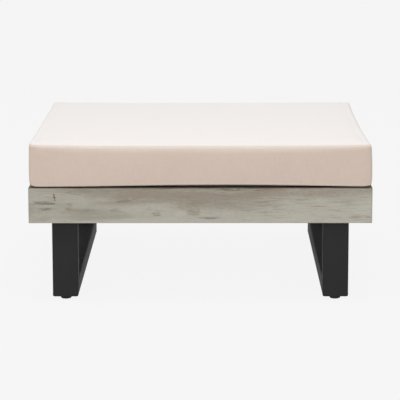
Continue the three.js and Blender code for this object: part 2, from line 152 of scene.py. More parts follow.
def rgb(red, green, blue):
    """A colour as its 0 to 255 numbers on a screen, made linear and opaque."""
    def linear(level):
        share = level / 255
        return share / 12.92 if share <= 0.04045 else ((share + 0.055) / 1.055) ** 2.4

    return (linear(red), linear(green), linear(blue), 1.0)


# %% [markdown]
# ## Weathered boards
# The boards are grey from sun and rain: a green-grey base, warmer brown where the grey has worn
# thin, fine dark lines along the grain, short dark checks, and a few knots. Wood could be one
# stretched noise, but its looks come from several scales at once, so each scale is its own noise
# and each layer of colour reads one of them. A board's grain follows its length, and each board
# of a row gets its own cut of the pattern.

# %% The scales of the grain and its layers of colour
DARK, BROWN, PALE = rgb(84, 77, 65), rgb(146, 131, 116), rgb(190, 187, 175)
# The dark brown of the painted shade under the cushion is the first colour on the next line.
CUSHION_SHADE, GREY = rgb(67, 54, 39), rgb(166, 161, 148)
GREY_GREEN, PALE_GREY = rgb(157, 152, 138), rgb(184, 179, 167)
WARM_BROWN, DARK_LINE = rgb(149, 135, 119), rgb(112, 103, 89)
GRAINS = {
    # scale along, into and across the board, shift along and across, detail, roughness
    "patches": (4.2, 6, 21, 0, 0, 3, 0.55),
    "stain": (9, 8, 38, 9, 4, 4, 0.6),
    "bands": (11, 60, 210, 0, 0, 3, 0.65),
    "streaks": (24, 80, 350, 6, 0, 3, 0.6),
    "lines": (26, 300, 720, 0, 0, 4, 0.65),
    "specks": (95, 120, 300, 0, 7, 2, 0.6),
    "checks": (46, 90, 330, 3, 0, 2, 0.5),
    "pores": (55, 900, 2300, 0, 0, 2, 0.6),
}
LAYERS = (
    # grain, where it starts and is full, share, whether rough patches alone show it all, tint
    ("stain", 0.50, 0.70, 0.52, False, WARM_BROWN),
    ("bands", 0.50, 0.74, 0.20, False, WARM_BROWN),
    ("bands", 0.46, 0.24, 0.20, False, PALE_GREY),
    ("streaks", 0.56, 0.74, 0.34, True, DARK_LINE),
    ("streaks", 0.42, 0.26, 0.22, False, rgb(190, 185, 173)),
    ("lines", 0.54, 0.76, 0.28, False, DARK_LINE),
    ("specks", 0.54, 0.72, 0.40, True, DARK_LINE),
    ("specks", 0.44, 0.28, 0.32, True, rgb(194, 190, 178)),
    ("pores", 0.54, 0.70, 0.34, False, DARK_LINE),
    ("checks", 0.67, 0.77, 0.55, True, rgb(92, 83, 71)),
)
LARGEST_DENT = 40                     # mm; a dark mark shorter than this is also a dent


# %% Weathered wood, for boards that run along X, Y or Z
def weathered_wood(name, along, board_pitch=None, across_axis=1, marks=(), shade_above=None):
    finish = Finish(name)
    axes = finish.parts(finish.place)
    length = axes[along]
    deep, wide = (axes[i] for i in range(3) if i != along)
    if board_pitch:
        board = (axes[across_axis] / board_pitch + 40.5).floor()
        cut = finish.node("ShaderNodeTexWhiteNoise", {"noise_dimensions": "1D"}, {1: board})
        length, deep = length + cut * 7.0, deep + cut * 3.0

    # Slow waves bend the grain a little out of line.
    sway = finish.grain(finish.whole(length * 5.0, deep * 5.0, wide * 9.0), 1.0, 2.0)
    bent = wide + (sway - 0.5) * 0.014
    grain = {}
    for scale, (by_length, by_depth, by_width, shift, rise, detail, roughness) in GRAINS.items():
        place = finish.whole(length * by_length + shift, deep * by_depth, bent * by_width + rise)
        grain[scale] = finish.grain(place, 1.0, detail, roughness)
    bands, streaks, lines = grain["bands"], grain["streaks"], grain["lines"]

    colour = finish.mix(finish.ease(grain["patches"], 0.36, 0.62), GREY_GREEN, PALE_GREY)
    rough = finish.ease(grain["patches"], 0.62, 0.40, 0.4, 1.0)
    for scale, start, full, share, in_rough, tint in LAYERS:
        shade = finish.ease(grain[scale], start, full) * share
        colour = finish.mix(shade * rough if in_rough else shade, colour, tint)

    # Knots, stains, pale places and painted shade of one board, as ragged spots with broken edges.
    dents = finish.ease(grain["checks"], 0.67, 0.77)
    broken = finish.ease(streaks * 0.5 + grain["specks"] * 0.5, 0.56, 0.42)
    for x, z, reach, rise, share, tint in marks:
        spot = ((length - x * MM) / (reach * MM)) ** 2.0 + ((bent - z * MM) / (rise * MM)) ** 2.0
        ragged = spot + (streaks - 0.5) * 3.6 + (bands - 0.5) * 3.0
        even = share * (0.95 if tint in (PALE, GREY) else 0.45)
        shade = finish.ease(ragged, 1.5, 0.1) * (broken * (share * 1.2 - even) + even)
        colour = finish.mix(shade, colour, tint)
        if reach < LARGEST_DENT and tint in (DARK, BROWN):
            dents = dents.larger(shade)

    # Painted shade: the top of a rail is darkened where the cushion above shades it.
    if shade_above is not None:
        height = axes[2] + (bands - 0.5) * 0.004
        cushion_shade = finish.ease(height, shade_above - 1.8 * MM, shade_above - 0.2 * MM)
        colour = finish.mix(cushion_shade * 0.72, colour, CUSHION_SHADE)

    relief = (lines * 0.5 + streaks * 0.4 + bands * 0.6) - (dents * 0.9 + grain["pores"] * 0.3)
    return finish.surface(
        Base_Color=colour,
        Roughness=lines * 0.22 + 0.68,
        Normal=finish.bump(relief, 0.5, 0.9 * MM),
        Specular_IOR_Level=0.3,
    )


# %% [markdown]
# ## Metal, plastic and thread
# Powder coat is paint baked from dust, so it has a very fine orange-peel skin, a dull shine and
# a few grey specks. Zinc has a faint cloudy grain. The other finishes differ mostly in how
# coarse their bump is, so they share one recipe.

# %% Powder coat
def powder_coat(name):
    finish = Finish(name)
    peel = finish.grain(finish.place, 900.0, 2.0, 0.6)
    cloud = finish.grain(finish.place, 14.0, 3.0, 0.5)
    specks = finish.ease(finish.grain(finish.place, 2600.0, 1.0), 0.66, 0.74)
    colour = finish.mix(cloud, rgb(37, 37, 38), rgb(43, 43, 44))
    return finish.surface(
        Base_Color=finish.mix(specks * 0.25, colour, rgb(74, 74, 76)),
        Roughness=peel * 0.12 + 0.61,
        Normal=finish.bump(peel, 0.25, 0.3 * MM),
        Specular_IOR_Level=0.2,
    )


# %% Plain finishes that share a recipe
def grainy(name, dark, light, scale, roughness, metallic=0.0,
           strength=0.2, depth=0.2 * MM, stretch=(1, 1, 1)):
    finish = Finish(name)
    place = finish.whole(*(axis * by for axis, by in zip(finish.parts(finish.place), stretch)))
    grain = finish.grain(place, scale, 3.0, 0.6)
    cloud = finish.grain(finish.place, 60.0, 2.0, 0.5)
    return finish.surface(
        Base_Color=finish.mix(finish.ease(grain * 0.5 + cloud * 0.5, 0.35, 0.65), dark, light),
        Roughness=(grain - 0.5) * 0.2 + roughness,
        Metallic=metallic,
        Normal=finish.bump(grain, strength, depth),
    )


# %% [markdown]
# ## Woven cover
# The cover is a plain weave of beige polyester threads, about 0.9 mm apart. The weave follows
# the cloth, not the room, so it reads the cover's own UV map, which is laid out in metres on
# each panel. Beside a seam the cloth is paler, partly from strain and partly as a painted
# highlight on the seam's lip. Faces that look up are painted paler, a painted highlight for the
# light from above. A sheen stands for the fine fuzz of the threads, which lightens the cloth
# seen along its face.

# %% Woven fabric on a UV map in metres
YARN_PITCH = 0.9 * MM


def woven_fabric(name, dark, light, strain_and_highlight, top_light_tint):
    finish = Finish(name)
    across, along, _ = finish.parts(finish.node("ShaderNodeUVMap", {"uv_map": "panel"}))
    warp, weft = ((axis * (math.pi / YARN_PITCH)).sine() for axis in (across, along))
    over = finish.ease(warp * weft, -0.2, 0.2)
    weave = abs(warp) * over + abs(weft) * (1 - over)
    slub = finish.grain(finish.whole(across * 420.0, along * 38.0, 0.0), 1.0, 2.0)
    slub_across = finish.grain(finish.whole(across * 38.0, along * 420.0, 5.0), 1.0, 2.0)
    cloud = finish.grain(finish.place, 9.0, 3.0, 0.55)
    thread = (slub + slub_across) * 0.5
    between = tuple(level * 0.6 for level in dark[:3]) + (1.0,)
    colour = finish.mix(finish.ease(thread * 0.7 + cloud * 0.3, 0.38, 0.62), dark, light)
    colour = finish.mix((1 - weave) * 0.16, colour, between)
    # Paler beside a seam: partly strain, partly a painted highlight on the seam's lip.
    colour = finish.mix(finish.attribute("by_seam") * 0.5, colour, strain_and_highlight)
    # Painted highlight: faces that look up are mixed towards a paler tint, for the light from
    # above.
    colour = finish.mix(finish.attribute("sunny"), colour, top_light_tint)
    return finish.surface(
        Base_Color=colour,
        Roughness=(thread - 0.5) * 0.1 + 0.86,
        Normal=finish.bump(weave + thread * 0.6, 0.22, 0.2 * MM),
        Specular_IOR_Level=0.3,
        Sheen_Weight=0.25,
        Sheen_Roughness=0.5,
        Sheen_Tint=(1.0, 1.0, 1.0, 1.0),
    )


# %% Mix the finishes
SLAT_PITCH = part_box("slat_2")[0].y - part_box("slat_1")[0].y
RAIL_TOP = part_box("front_rail")[1].z
BEARER_PITCH = 158.5 * MM
FRONT_MARKS = (
    # x, height, reach along and reach up in mm, how strong, tint
    (-115, 262, 170, 17, 0.44, BROWN),
    (-30, 248, 130, 20, 0.34, BROWN),
    (115, 257, 90, 13, 0.38, BROWN),
    (-330, 260, 60, 10, 0.30, BROWN),
    (260, 213, 150, 26, 0.42, PALE),
    (0, 189, 420, 9, 0.55, PALE),
    (-370, 226, 30, 4.5, 0.50, PALE),
    (375, 220, 25, 10, 0.30, PALE),
    (-340.5, 249.8, 1.8, 5.2, 0.90, DARK),
    (-338.3, 244, 1.9, 5.2, 0.95, DARK),
    (-300, 238, 110, 50, 0.09, DARK),
    (-364, 232, 26, 4.2, 0.50, DARK),
    (-360, 218, 18, 3.4, 0.45, DARK),
    (-305, 231, 11, 3, 0.50, BROWN),
    (-308, 220, 7.5, 4.4, 0.60, BROWN),
    (-270, 218, 30, 3.4, 0.32, DARK),
    (-199, 215, 13, 5, 0.34, DARK),
    (-175, 238, 20, 3, 0.30, DARK),
    (-103, 206, 12, 4, 0.42, DARK),
    (-15, 213, 16, 9, 0.60, BROWN),
    (-45, 208, 12, 7, 0.45, PALE),
    (21, 201, 26, 3, 0.45, DARK),
    (125, 248, 25, 6, 0.40, BROWN),
    (238, 233, 22, 2.2, 0.40, DARK),
    (360, 202, 16, 4, 0.50, DARK),
    (390, 201, 8, 3, 0.50, DARK),
    (340, 245, 50, 10, 0.22, BROWN),
    (290, 225, 160, 46, 0.52, PALE),
    (250, 260, 170, 11, 0.62, BROWN),
    (-225, 204, 70, 11, 0.85, GREY),
    (130, 233, 60, 12, 0.50, GREY),
    # Painted shadow: a long dark band along the top of the front rail, under the cushion's
    # overhang.
    (20, 270, 190, 7.5, 0.55, DARK),
)
finishes = {
    "front_rail": weathered_wood("front_rail_wood", 0, marks=FRONT_MARKS, shade_above=RAIL_TOP),
    "rail_along_x": weathered_wood("back_rail_wood", 0, shade_above=RAIL_TOP),
    "rail_along_y": weathered_wood("side_rail_wood", 1, shade_above=RAIL_TOP),
    "slats": weathered_wood("slat_wood", 0, SLAT_PITCH, 1),
    "bearers": weathered_wood("bearer_wood", 1, BEARER_PITCH, 0),
    "blocks": weathered_wood("block_wood", 2),
    "steel": powder_coat("black_powder_coat"),
    "cover": woven_fabric("cushion_cloth", rgb(213, 194, 180), rgb(218, 200, 186),
                          strain_and_highlight=rgb(236, 222, 211), top_light_tint=rgb(233, 228, 225)),
}
for key, name, dark, light, *rest, more in (
    # finish, its name, dark and light tint, scale of the grain, roughness, and what else differs
    ("zinc", "zinc_plate", rgb(150, 152, 156), rgb(196, 198, 201), 420, 0.34, {"metallic": 1}),
    ("nickel", "satin_nickel", rgb(150, 147, 142), rgb(184, 181, 176), 500, 0.3, {"metallic": 1}),
    ("screw", "screw_zinc", rgb(160, 156, 140), rgb(190, 186, 168), 800, 0.38, {"metallic": 1}),
    ("foot", "foot_plastic", rgb(8, 8, 8), rgb(15, 15, 15), 700, 0.7, {"strength": 0.3}),
    ("teeth", "zip_teeth_nylon", rgb(188, 172, 158), rgb(206, 192, 180), 900, 0.45,
     {"strength": 0.1}),
    ("foam", "open_foam", rgb(214, 203, 176), rgb(236, 228, 206), 900, 0.95,
     {"strength": 0.6, "depth": 0.6 * MM}),
    ("thread", "sewing_thread", rgb(188, 170, 155), rgb(212, 197, 184), 1500, 0.8,
     {"stretch": (1, 1, 3)}),
    ("tape", "zip_tape_weave", rgb(178, 160, 146), rgb(200, 184, 171), 1400, 0.85,
     {"stretch": (1, 1, 0.2)}),
):
    finishes[key] = grainy(name, dark, light, *rest, **more)
print("finishes:", ", ".join(finishes))

# %% [markdown]
# ## Pieces from bare points
# Most new pieces are grids of points. A helper turns points and faces into an object at the
# origin, with its place in its mesh, and checks that its faces point outwards.

# %% Make, finish and place a piece
SHARP_EDGE = math.radians(38)         # edges that are bent more than this stay sharp


def make_object(name, mesh):
    made = bpy.data.objects.new(name, mesh)
    bpy.context.scene.collection.objects.link(made)
    return made


def bare_mesh(name, points, edges=(), faces=()):
    mesh = bpy.data.meshes.new(name)
    mesh.from_pydata([tuple(map(float, point)) for point in points], edges, faces)
    return mesh


def finish_piece(name, mesh, material, smooth=True):
    mesh.materials.clear()
    mesh.materials.append(material)
    if smooth:
        mesh.polygons.foreach_set("use_smooth", [True] * len(mesh.polygons))
        mesh.set_sharp_from_angle(angle=SHARP_EDGE)
    return make_object(name, mesh)


def make_piece(name, points, faces, material, smooth=True):
    mesh = bare_mesh(name, points, faces=faces)
    work = bmesh.new()
    work.from_mesh(mesh)
    bmesh.ops.recalc_face_normals(work, faces=work.faces)
    work.to_mesh(mesh)
    work.free()
    return finish_piece(name, mesh, material, smooth)


def place_piece(piece, body, slot, *replaced):
    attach(piece, body)
    if replaced:
        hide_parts(*replaced)
    print(piece.name, "rides on", body, "-", len(piece.data.polygons), "faces")


def middle(node):
    """The middle of a node's box, seen from above."""
    low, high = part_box(node)
    return (low.x + high.x) / 2, (low.y + high.y) / 2


def arc(centre, radius, start, sweep, steps=5):
    """Points of a rounded corner, from a start angle through a sweep, in degrees."""
    angles = [math.radians(start + sweep * i / steps) for i in range(steps + 1)]
    return [(centre[0] + radius * math.cos(a), centre[1] + radius * math.sin(a)) for a in angles]


# %% A round piece about Z
def lathe(name, profile, sides, centre, material, ripple=None):
    """Turns [radius, height] pairs in metres; ripple moves a radius by its angle."""
    angles = [2 * math.pi * i / sides for i in range(sides)]
    points, rings = [], []
    for radius, height in profile:
        if radius == 0:
            rings.append([len(points)] * sides)
            points.append((*centre, height))
            continue
        rings.append(list(range(len(points), len(points) + sides)))
        for angle in angles:
            out = radius + (ripple(radius, height, angle) if ripple else 0)
            points.append((centre[0] + out * math.cos(angle),
                           centre[1] + out * math.sin(angle), height))
    faces = []
    for low, high in zip(rings, rings[1:]):
        for i in range(sides):
            j = (i + 1) % sides
            faces.append(tuple(dict.fromkeys((low[i], low[j], high[j], high[i]))))
    return make_piece(name, points, faces, material)


# %% [markdown]
# ## The rails
# The four rails are the boards that the eye meets first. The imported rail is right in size, but
# its long edges are evenly round. Weather and hands leave an edge that is sharper here and
# softer there, so each board is lofted again over the same box: a rounded section whose four
# corners wear by a slow noise, cut at 45 degrees where two rails meet.

# %% Sizes of a rail and its worn section
rail_low, rail_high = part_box("front_rail")
HALF_SEAT = -rail_low.y
RAIL_DEPTH = rail_high.y - rail_low.y
RAIL_HEIGHT = rail_high.z - rail_low.z
MITRE_GAP = 0.3 * MM
CORNER = 4 * MM
ARRIS = (1.6 * MM, 3.6 * MM)          # radius of a long edge where it is sharpest and softest
FRONT_ARRIS = (0.55, 0.65)            # the share of it that the front has, below and above


def worn_section(station, seed):
    """Points round a rail's section as (depth behind the face, height), with worn corners."""
    ring = []
    corners = [(0, 0, 1, 1), (0, 1, 1, -1), (1, 1, -1, -1), (1, 0, -1, 1)]
    for number, (deep, high, to_deep, to_high) in enumerate(corners):
        wear = 0.5 + 0.5 * noise.noise(Vector((station * 9.0, seed * 3.7, number * 5.1)))
        wear += 0.35 * noise.noise(Vector((station * 60.0, seed * 1.9, number * 8.3)))
        radius = ARRIS[0] + (ARRIS[1] - ARRIS[0]) * min(1, max(0, wear))
        if deep == 0:
            radius *= FRONT_ARRIS[high]
        centre = (deep * RAIL_DEPTH + to_deep * radius, high * RAIL_HEIGHT + to_high * radius)
        outwards = math.degrees(math.atan2(-to_high, -to_deep))
        ring += arc(centre, radius, outwards + 45, -90)
    return ring


# %% Loft the rails
def rail_rings(seed):
    near = [step * MM for step in (0, 1.2, 2.4, 4, 8, 16, 30)]
    straight = HALF_SEAT - 45 * MM
    stations = [step - HALF_SEAT for step in near] + list(np.linspace(-straight, straight, 88))
    stations += [HALF_SEAT - step for step in reversed(near)]
    for station in stations:
        ring = []
        for depth, height in worn_section(station, seed):
            reach = HALF_SEAT - depth - MITRE_GAP * math.sqrt(0.5)
            x = station / HALF_SEAT * reach
            past = abs(x) - (HALF_SEAT - CORNER)
            if past > 0:
                depth = max(depth, CORNER - math.sqrt(max(0, CORNER**2 - past**2)))
            ring.append((x, depth - HALF_SEAT, rail_low.z + height))
        yield ring


def loft(rings):
    """Points, and faces between closed rings of points, with a flat cap at each end."""
    count = len(rings[0])
    points = [point for ring in rings for point in ring]
    faces = [tuple(range(count))[::-1], tuple(range(len(points) - count, len(points)))]
    for a in range(0, len(points) - count, count):
        for i in range(count):
            j = (i + 1) % count
            faces.append((a + i, a + j, a + count + j, a + count + i))
    return points, faces


WOOD_OF = {"front": "front_rail", "right": "rail_along_y",
           "back": "rail_along_x", "left": "rail_along_y"}
for quarters, (side, wood) in enumerate(WOOD_OF.items()):
    points, faces = loft(list(rail_rings(quarters + 1)))
    cosine, sine = (1, 0, -1, 0)[quarters], (0, 1, 0, -1)[quarters]
    turned = [(x * cosine - y * sine, x * sine + y * cosine, z) for x, y, z in points]
    board = make_piece(f"{side}_board", turned, faces, finishes[wood])
    place_piece(board, "frame", "weathered_wood", f"{side}_rail")

# %% [markdown]
# ## Recipes
# Stitches, zip teeth, screws and bolts all repeat one small shape along a path or on a set of
# points, which is what Geometry Nodes are for. A recipe is such a tree with named sizes. It
# ends by making its copies real, and its result is turned into one plain mesh.

# %% A Geometry Nodes tree with named sizes
class Recipe(Tree):
    """Sizes are given as name=value, and set again for each run, with finish=material."""
    KINDS = {float: "Float", int: "Int", tuple: "Vector"}

    def __init__(self, name, finished=True, **sizes):
        super().__init__(bpy.data.node_groups.new(name, "GeometryNodeTree"))
        self.identifiers = {"geometry": self.socket("geometry", "INPUT", "Geometry")}
        self.socket("geometry", "OUTPUT", "Geometry")
        if finished:
            self.identifiers["finish"] = self.socket("finish", "INPUT", "Material")
        for label, value in sizes.items():
            kind = self.KINDS.get(type(value), "Object")
            self.identifiers[label] = self.socket(label, "INPUT", kind, value)
        outputs = self.node("NodeGroupInput").socket.node.outputs
        self.inputs = {label: Value(self, outputs[i]) for i, label in enumerate(self.identifiers)}

    def socket(self, label, in_out, kind, value=None):
        made = self.tree.interface.new_socket(
            label.capitalize(), in_out=in_out, socket_type="NodeSocket" + kind)
        if value is not None:
            made.default_value = value
        return made.identifier

    def end(self, geometry):
        """Ends the tree in real meshes with their finish."""
        solid = self.node("GeometryNodeRealizeInstances", inputs={0: geometry})
        finish = self.inputs["finish"]
        dressed = self.node("GeometryNodeSetMaterial", inputs={0: solid, 2: finish})
        self.node("NodeGroupOutput", inputs={0: dressed})

    def end_in_copies(self, points, shape, turn=None, scale=None):
        """Ends the tree in a copy of the shape on each point."""
        sockets = {0: points, 2: shape, 5: turn, 6: scale}
        used = {key: value for key, value in sockets.items() if value is not None}
        self.end(self.node("GeometryNodeInstanceOnPoints", inputs=used))

    def run(self, name, points, edges=(), **sizes):
        """Feeds the points to the tree and returns the result as a finished piece."""
        seed = make_object(name + "_seed", bare_mesh(name, points, edges))
        maker = seed.modifiers.new("Recipe", "NODES")
        maker.node_group = self.tree
        for label, value in sizes.items():
            maker[self.identifiers[label]] = value
        evaluated = seed.evaluated_get(bpy.context.evaluated_depsgraph_get())
        result = bpy.data.meshes.new_from_object(evaluated)
        result.name = name
        bpy.data.objects.remove(seed)
        return finish_piece(name, result, sizes["finish"])


# %% [markdown]
# ## Edges that catch the light
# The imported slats, tubes and plates have the right shape, and stay. Their faces come as loose
# triangles, which look faceted on a rounded corner. A small Geometry Nodes tree joins the loose
# corners and shades across shallow edges; it is a modifier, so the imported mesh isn't changed.

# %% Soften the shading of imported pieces
soft = Recipe("Soft shading", finished=False)
joined = soft.node("GeometryNodeMergeByDistance", inputs={0: soft.inputs["geometry"], 2: 1e-6})
rounded = soft.node("GeometryNodeSetShadeSmooth", {"domain": "FACE"}, {0: joined, 2: True})
bend = soft.node("GeometryNodeInputMeshEdgeAngle")
sharp = soft.node("FunctionNodeCompare", {"operation": "GREATER_THAN"}, {0: bend, 1: SHARP_EDGE})
creased = soft.node(
    "GeometryNodeSetShadeSmooth", {"domain": "EDGE"}, {0: rounded, 1: sharp, 2: False})
soft.node("NodeGroupOutput", inputs={0: creased})

KEPT = {
    "slats": [name for name in NODES if name.startswith("slat_")],
    "bearers": [name for name in NODES if name.endswith("_bearer")],
    "blocks": [name for name in NODES if name.startswith("corner_block")],
    "steel": [name for name in NODES if name.endswith(("_tube", "_post", "_plate"))],
    "zinc": [name for name in NODES if name.endswith("_insert")],
    "tape": [name for name in NODES if name.endswith("_zip_tape")],
    "nickel": ["zip_slider", "zip_pull"],
}
for finish_name, names in KEPT.items():
    for node in (NODES[name] for name in names):
        node.data.materials.clear()
        node.data.materials.append(finishes[finish_name])
        node.modifiers.new("Soft shading", "NODES").node_group = soft.tree
    print(finish_name, "on", len(names), "packed pieces")

# %% [markdown]
# ## The cushion
# The cover is a box sewn from a top, a bottom and four sides, pulled over foam. Its seams run
# along the twelve edges of the box, and the cloth swells between them. A grid on the six faces
# of a box keeps those seams as real edge loops. The grid is first bent to the rounded outline of
# the foam, then a cloth simulation blows the panels up a little against their seams, and last
# the seams are drawn in.

# %% Sizes of the cushion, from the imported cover
cover_low, cover_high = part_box("cushion_cover")
HALF_COVER = cover_high.x
CROWN = 2.6 * MM
COVER_TOP = cover_high.z + 1.2 * MM
COVER_HEIGHT = COVER_TOP - cover_low.z
ROLL = {"front": 25 * MM, "back": 14 * MM, "left": 5 * MM, "right": 14 * MM}
PLAN_CORNER = 12 * MM
SHARP_CORNERS = 0.6                   # the share by which a roll tightens towards a corner
LEAN = (2.0 * MM, -6.0 * MM)          # how much higher the top is at its front and at its back
slot_low, slot_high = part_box("lower_zip_tape")[0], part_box("upper_zip_tape")[1]
ZIP_FACE = slot_high.y
SLOT_GAP = 0.3 * MM
SLOT_HALF = slot_high.x + SLOT_GAP
SLOT_Z = (slot_low.z - SLOT_GAP, slot_high.z + SLOT_GAP)
print("cushion", round(2 * HALF_COVER, 4), "by", round(COVER_HEIGHT, 4))


# %% Grid lines: close together at the seams and on the edges of the zip's slot
GRID_PITCH = 9.5 * MM


def grid_lines(low, high, extra):
    near = [step * MM for step in (0, 1.5, 4, 7.5, 12, 18, 25) if step * MM < (high - low) * 0.4]
    count = max(2, round((high - low - 2 * near[-1]) / GRID_PITCH))
    between = np.linspace(low + near[-1], high - near[-1], count + 1)[1:-1]
    lines = [low + step for step in near] + list(between) + [high - step for step in near]
    for line in extra:
        lines = [other for other in lines if abs(other - line) > GRID_PITCH * 0.35] + [line]
    return sorted(lines)


plan_lines = grid_lines(-HALF_COVER, HALF_COVER, (-SLOT_HALF, SLOT_HALF))
height_lines = grid_lines(cover_low.z, COVER_TOP, SLOT_Z)
print("grid:", len(plan_lines), "lines across,", len(height_lines), "lines up")


# %% Sew the six panels into one closed grid
def sewn_box(*lines):
    """Points and faces of a box's skin on these lines, and each face's UVs in metres."""
    index, faces, uvs, on_back = {}, [], [], []

    def panel(axis, end, outwards):
        first, second = [other for other in range(3) if other != axis]
        for a in range(len(lines[first]) - 1):
            for b in range(len(lines[second]) - 1):
                face, uv = [], []
                for p, q in ((a, b), (a + 1, b), (a + 1, b + 1), (a, b + 1)):
                    key = [end, end, end]
                    key[first], key[second] = p, q
                    face.append(index.setdefault(tuple(key), len(index)))
                    uv.append((lines[first][p], lines[second][q]))
                faces.append(face[::outwards])
                uvs.append(uv[::outwards])
                on_back.append(axis == 1 and end > 0)

    for axis in range(3):
        for end in (0, len(lines[axis]) - 1):
            panel(axis, end, 1 if (end > 0) != (axis == 1) else -1)
    points = [[lines[axis][key[axis]] for axis in range(3)] for key in index]
    return np.array(points), faces, uvs, on_back


box_points, box_faces, box_uvs, on_back = sewn_box(plan_lines, plan_lines, height_lines)
print("sewn box:", len(box_points), "points,", len(box_faces), "faces")

# %% How the foam's outline leaves the box
SEAM_LIFT = (2.4 * MM, 7.4 * MM)      # height of the lower seam at the corners and in the middle
CORNER_LIFT = 3.5 * MM                # how much higher that seam is right at a corner
BELLY = 30 * MM                       # how far in the bottom panel first touches the slats
TUCK = {"front": 4.6 * MM, "side": 7.0 * MM}        # how far the foot of a panel is tucked in
TUCK_REACH = {"front": 4.0 * MM, "side": 6.0 * MM}  # and how high up that is felt
STANDS_OUT = {"left": -1.1 * MM, "right": 0.3 * MM, "front": 0.6 * MM, "back": -2.5 * MM}
# How much narrower a side is at the top, and between its corners:
TAPER = {"left": 1.2 * MM, "right": 2.8 * MM, "front": 0.0, "back": 0.0}
DRAWN_IN = {"left": 0.3 * MM, "right": 2.2 * MM, "front": 2.6 * MM, "back": 2.6 * MM}


def smooth_step(share):
    share = np.clip(share, 0, 1)
    return share**2 * (3 - 2 * share)


def lower_seam(x, y):
    """The height of the lower seam: every side lifts off the boards between its corners."""
    along = np.where(np.abs(x) >= np.abs(y), y, x)
    share = np.clip(np.abs(along - 60 * MM) / (450 * MM), 0, 1)
    lifted = CORNER_LIFT * np.exp(-(((HALF_COVER - np.abs(along)) / (9 * MM)) ** 2))
    low, high = SEAM_LIFT
    return low + (high - low) * np.cos(share * np.pi / 2) ** 2 + lifted


def filled_out(across, along, up, low, high):
    """Sides pushed out by the foam, tapered upwards and drawn in between their corners."""
    stands_out, taper, drawn_in = (np.where(across > 0, side[high], side[low])
                                   for side in (STANDS_OUT, TAPER, DRAWN_IN))
    share = np.clip(np.abs(across) / HALF_COVER, 0, 1) ** 6
    between = np.cos(np.clip(along / HALF_COVER, -1, 1) * np.pi / 2)
    return across + np.sign(across) * share * (stands_out - taper * up**3 - drawn_in * between)


def rounded_in_plan(plan, inset):
    """Moves points to square rings of that inset, whose corners are round."""
    room = HALF_COVER - inset
    radius = np.clip(PLAN_CORNER - inset * 0.6, 5 * MM, None)
    plan = plan * (room / np.maximum(np.abs(plan).max(1), 1e-9))[:, None]
    straight = (room - radius)[:, None]
    inner = np.clip(plan, -straight, straight)
    reach = plan - inner
    in_corner = (np.abs(reach).min(1) > 1e-9) & (room > radius * 1.5)
    round_off = np.abs(reach).max(1) / np.maximum(np.hypot(*reach.T), 1e-9)
    return inner + reach * np.where(in_corner, round_off, 1)[:, None]


# %% Bend the box to the foam's rounded outline
def shape_cushion(points):
    x, y, z = points.T
    on_top, on_bottom = z >= COVER_TOP - 1e-9, z <= cover_low.z + 1e-9
    edge = HALF_COVER - np.maximum(np.abs(x), np.abs(y))
    seam = lower_seam(x, y)
    sideways = smooth_step((np.abs(x) - np.abs(y)) / (60 * MM) + 0.5)
    roll = np.where(y < 0, ROLL["front"], ROLL["back"]) * (1 - sideways)
    roll += np.where(x < 0, ROLL["left"], ROLL["right"]) * sideways
    tuck, tuck_reach = (value["front"] * (1 - sideways) + value["side"] * sideways
                        for value in (TUCK, TUCK_REACH))
    along = np.clip(np.minimum(np.abs(x), np.abs(y)) / HALF_COVER, 0, 1)
    roll = roll * (1 - SHARP_CORNERS * along**4)

    # The side panels: upright, tucked in at the foot, rolled over at the top.
    rise = seam + (z - cover_low.z) * (1 - seam / COVER_HEIGHT)
    gap = np.clip((COVER_TOP - z) / roll, 0, 1)
    angle = np.pi / 4 * (1 - gap)
    inset = tuck * np.exp(-rise / tuck_reach) + roll * (1 - np.cos(angle))
    over_roll = COVER_HEIGHT - roll * (1 - np.sin(angle))
    height = cover_low.z + np.where(gap < 1, over_roll, rise)

    # The top panel carries on over the roll, and the bottom panel curves down to the slats.
    angle = np.pi / 4 * (1 + np.clip(edge / roll, 0, 1))
    beyond = np.maximum(0, edge - roll)
    inset = np.where(on_top, roll * (1 - np.cos(angle)) + beyond, inset)
    height = np.where(on_top, COVER_TOP - roll * (1 - np.sin(angle)), height)
    curl = np.clip(1 - edge / BELLY, 0, 1)
    inset = np.where(on_bottom, tuck * np.exp(-seam / tuck_reach) * curl + edge, inset)
    height = np.where(on_bottom, cover_low.z + seam * curl**2, height)

    plan = rounded_in_plan(points[:, :2], inset)
    up = np.clip((z - cover_low.z) / COVER_HEIGHT, 0, 1)
    height = height + (LEAN[0] + (LEAN[1] - LEAN[0]) * (y / HALF_COVER + 1) / 2) * up
    return np.column_stack([filled_out(plan[:, 0], plan[:, 1], up, "left", "right"),
                            filled_out(plan[:, 1], plan[:, 0], up, "front", "back"), height])


foam_shape = shape_cushion(box_points)
print("foam shape spans", foam_shape.min(0).round(4), foam_shape.max(0).round(4))

# %% [markdown]
# ### Swelling the panels
# A sewn cushion gets its shape from the push of its foam against cloth that its seams hold.
# Blender's Cloth does the same: the seams are pinned, a pressure fills the box, and gravity is
# off. The movement is then capped softly, so no panel swells more than the foam would push it,
# and it fades to nothing on the roll at the top.


# %% Find the seams and the slot of the zip
def near_zip(points):
    """One on the slot of the zip, fading to zero 35 mm away from it, on the back only."""
    x, y, z = points.T
    past_x = np.maximum(0, np.abs(x) - SLOT_HALF)
    past_z = np.maximum(0, np.abs(z - sum(SLOT_Z) / 2) - (SLOT_Z[1] - SLOT_Z[0]) / 2)
    return np.where(y > 0.3, smooth_step(1 - np.hypot(past_x, past_z) / (35 * MM)), 0)


def on_level(level):
    return np.abs(box_points[:, 2] - level) < 1e-9


